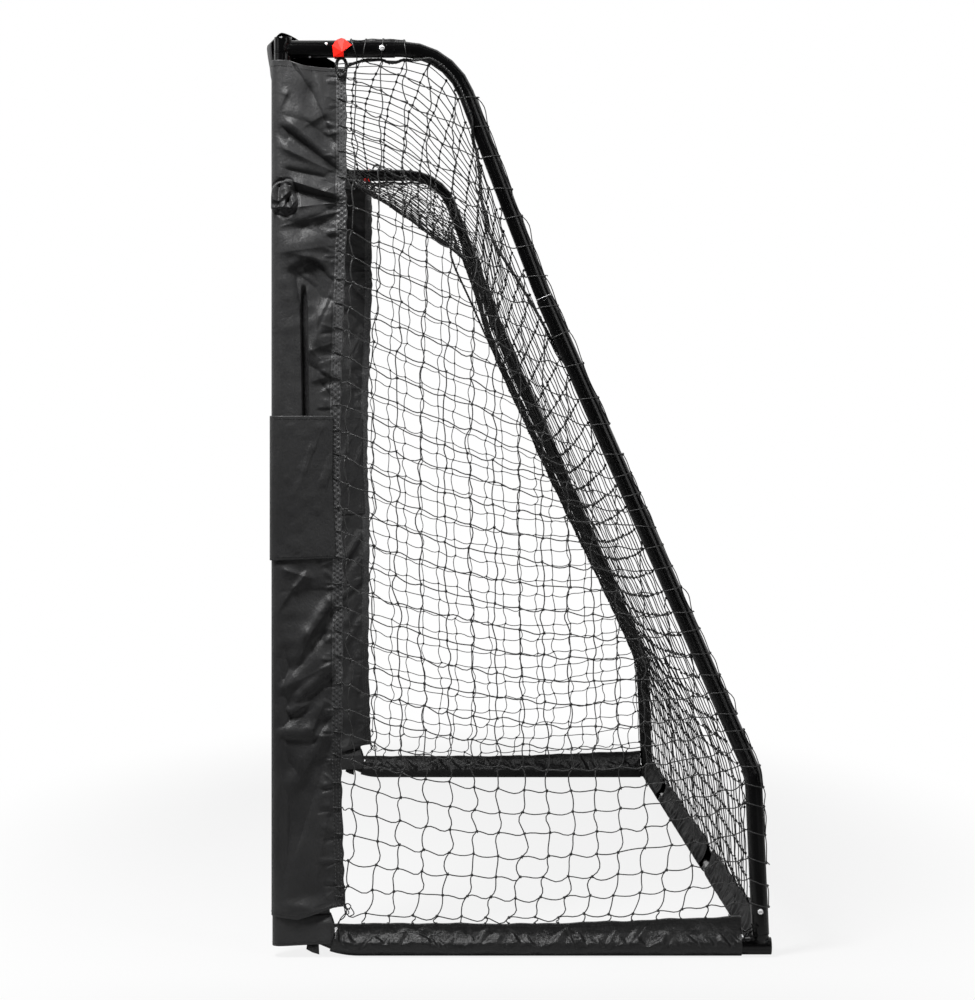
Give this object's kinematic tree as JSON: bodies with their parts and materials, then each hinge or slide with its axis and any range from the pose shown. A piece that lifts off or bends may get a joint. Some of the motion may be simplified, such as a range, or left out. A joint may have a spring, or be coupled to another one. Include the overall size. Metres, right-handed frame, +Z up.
{
  "type": "portable soccer goal",
  "caption": "Portable soccer goal: telescoping black steel tube frame on a U-shaped base, with fabric post covers and base sleeves and a black knotted net.",
  "frame": {"origin": "on the floor, under the middle of the whole goal", "axes": "+X along the crossbar, +Y from the mouth towards the back, +Z up"},
  "size_m": [3.0156, 1.097, 1.999],
  "materials": {
    "black_steel": "gloss black powder coat",
    "zinc_steel": "bright zinc",
    "cover_fabric": "black satin-finish woven polyester",
    "sleeve_fabric": "black woven polyester",
    "net_twine": "black twisted and knotted twine",
    "red_plastic": "moulded red",
    "black_plastic": "moulded black"
  },
  "bodies": {
    "goal": {"top_corner_right": "black_steel", "rear_corner_right": "black_steel", "upper_post_right": "black_steel", "lower_post_right": "black_steel", "top_side_tube_right": "black_steel", "lower_side_tube_right": "black_steel", "end_plug_right": "black_plastic", "post_cover_right": "cover_fabric", "cover_band_right": "cover_fabric", "base_sleeve_right": "sleeve_fabric", "net_rope_right": "net_twine", "side_net_right": "net_twine", "rail_clip_right": "red_plastic", "cord_loop_right": "net_twine", "top_corner_left": "black_steel", "rear_corner_left": "black_steel", "upper_post_left": "black_steel", "lower_post_left": "black_steel", "top_side_tube_left": "black_steel", "lower_side_tube_left": "black_steel", "end_plug_left": "black_plastic", "post_cover_left": "cover_fabric", "cover_band_left": "cover_fabric", "base_sleeve_left": "sleeve_fabric", "net_rope_left": "net_twine", "side_net_left": "net_twine", "rail_clip_left": "red_plastic", "cord_loop_left": "net_twine", "crossbar_right": "black_steel", "crossbar_middle": "black_steel", "crossbar_left": "black_steel", "rear_bar_right": "black_steel", "rear_bar_middle": "black_steel", "rear_bar_left": "black_steel", "crossbar_cover": "cover_fabric", "rear_sleeve_right": "sleeve_fabric", "rear_sleeve_middle": "sleeve_fabric", "rear_sleeve_left": "sleeve_fabric", "roof_net": "net_twine", "back_net": "net_twine"},
    "post_top_button_right": {"post_top_button_right": "zinc_steel"},
    "post_top_button_left": {"post_top_button_left": "zinc_steel"},
    "post_button_right": {"post_button_right": "zinc_steel"},
    "post_button_left": {"post_button_left": "zinc_steel"},
    "rail_button_right": {"rail_button_right": "zinc_steel"},
    "rail_button_left": {"rail_button_left": "zinc_steel"},
    "slope_button_right": {"slope_button_right": "zinc_steel"},
    "slope_button_left": {"slope_button_left": "zinc_steel"},
    "leg_button_right": {"leg_button_right": "zinc_steel"},
    "leg_button_left": {"leg_button_left": "zinc_steel"},
    "base_button_right": {"base_button_right": "zinc_steel"},
    "base_button_left": {"base_button_left": "zinc_steel"},
    "crossbar_button_right": {"crossbar_button_right": "zinc_steel"},
    "crossbar_button_left": {"crossbar_button_left": "zinc_steel"},
    "crossbar_end_button_right": {"crossbar_end_button_right": "zinc_steel"},
    "crossbar_end_button_left": {"crossbar_end_button_left": "zinc_steel"},
    "rear_bar_button_right": {"rear_bar_button_right": "zinc_steel"},
    "rear_bar_button_left": {"rear_bar_button_left": "zinc_steel"},
    "rear_bar_end_button_right": {"rear_bar_end_button_right": "zinc_steel"},
    "rear_bar_end_button_left": {"rear_bar_end_button_left": "zinc_steel"}
  },
  "joints": [
    {"name": "post_top_button_right_press", "type": "slide", "parent": "goal", "child": "post_top_button_right", "axis": [0, -1, 0], "range_m": [0, 0.005], "stiffness_N_per_m": 2500},
    {"name": "post_top_button_left_press", "type": "slide", "parent": "goal", "child": "post_top_button_left", "axis": [0, -1, 0], "range_m": [0, 0.005], "stiffness_N_per_m": 2500},
    {"name": "post_button_right_press", "type": "slide", "parent": "goal", "child": "post_button_right", "axis": [0, -1, 0], "range_m": [0, 0.005], "stiffness_N_per_m": 2500},
    {"name": "post_button_left_press", "type": "slide", "parent": "goal", "child": "post_button_left", "axis": [0, -1, 0], "range_m": [0, 0.005], "stiffness_N_per_m": 2500},
    {"name": "rail_button_right_press", "type": "slide", "parent": "goal", "child": "rail_button_right", "axis": [-1, 0, 0], "range_m": [0, 0.005], "stiffness_N_per_m": 2500},
    {"name": "rail_button_left_press", "type": "slide", "parent": "goal", "child": "rail_button_left", "axis": [1, 0, 0], "range_m": [0, 0.005], "stiffness_N_per_m": 2500},
    {"name": "slope_button_right_press", "type": "slide", "parent": "goal", "child": "slope_button_right", "axis": [1, 0, 0], "range_m": [0, 0.005], "stiffness_N_per_m": 2500},
    {"name": "slope_button_left_press", "type": "slide", "parent": "goal", "child": "slope_button_left", "axis": [-1, 0, 0], "range_m": [0, 0.005], "stiffness_N_per_m": 2500},
    {"name": "leg_button_right_press", "type": "slide", "parent": "goal", "child": "leg_button_right", "axis": [-1, 0, 0], "range_m": [0, 0.005], "stiffness_N_per_m": 2500},
    {"name": "leg_button_left_press", "type": "slide", "parent": "goal", "child": "leg_button_left", "axis": [1, 0, 0], "range_m": [0, 0.005], "stiffness_N_per_m": 2500},
    {"name": "base_button_right_press", "type": "slide", "parent": "goal", "child": "base_button_right", "axis": [0, 0, -1], "range_m": [0, 0.005], "stiffness_N_per_m": 2500},
    {"name": "base_button_left_press", "type": "slide", "parent": "goal", "child": "base_button_left", "axis": [0, 0, -1], "range_m": [0, 0.005], "stiffness_N_per_m": 2500},
    {"name": "crossbar_button_right_press", "type": "slide", "parent": "goal", "child": "crossbar_button_right", "axis": [0, -1, 0], "range_m": [0, 0.005], "stiffness_N_per_m": 2500},
    {"name": "crossbar_button_left_press", "type": "slide", "parent": "goal", "child": "crossbar_button_left", "axis": [0, -1, 0], "range_m": [0, 0.005], "stiffness_N_per_m": 2500},
    {"name": "crossbar_end_button_right_press", "type": "slide", "parent": "goal", "child": "crossbar_end_button_right", "axis": [0, -1, 0], "range_m": [0, 0.005], "stiffness_N_per_m": 2500},
    {"name": "crossbar_end_button_left_press", "type": "slide", "parent": "goal", "child": "crossbar_end_button_left", "axis": [0, -1, 0], "range_m": [0, 0.005], "stiffness_N_per_m": 2500},
    {"name": "rear_bar_button_right_press", "type": "slide", "parent": "goal", "child": "rear_bar_button_right", "axis": [0, 0, -1], "range_m": [0, 0.005], "stiffness_N_per_m": 2500},
    {"name": "rear_bar_button_left_press", "type": "slide", "parent": "goal", "child": "rear_bar_button_left", "axis": [0, 0, -1], "range_m": [0, 0.005], "stiffness_N_per_m": 2500},
    {"name": "rear_bar_end_button_right_press", "type": "slide", "parent": "goal", "child": "rear_bar_end_button_right", "axis": [0, 0, -1], "range_m": [0, 0.005], "stiffness_N_per_m": 2500},
    {"name": "rear_bar_end_button_left_press", "type": "slide", "parent": "goal", "child": "rear_bar_end_button_left", "axis": [0, 0, -1], "range_m": [0, 0.005], "stiffness_N_per_m": 2500}
  ]
}
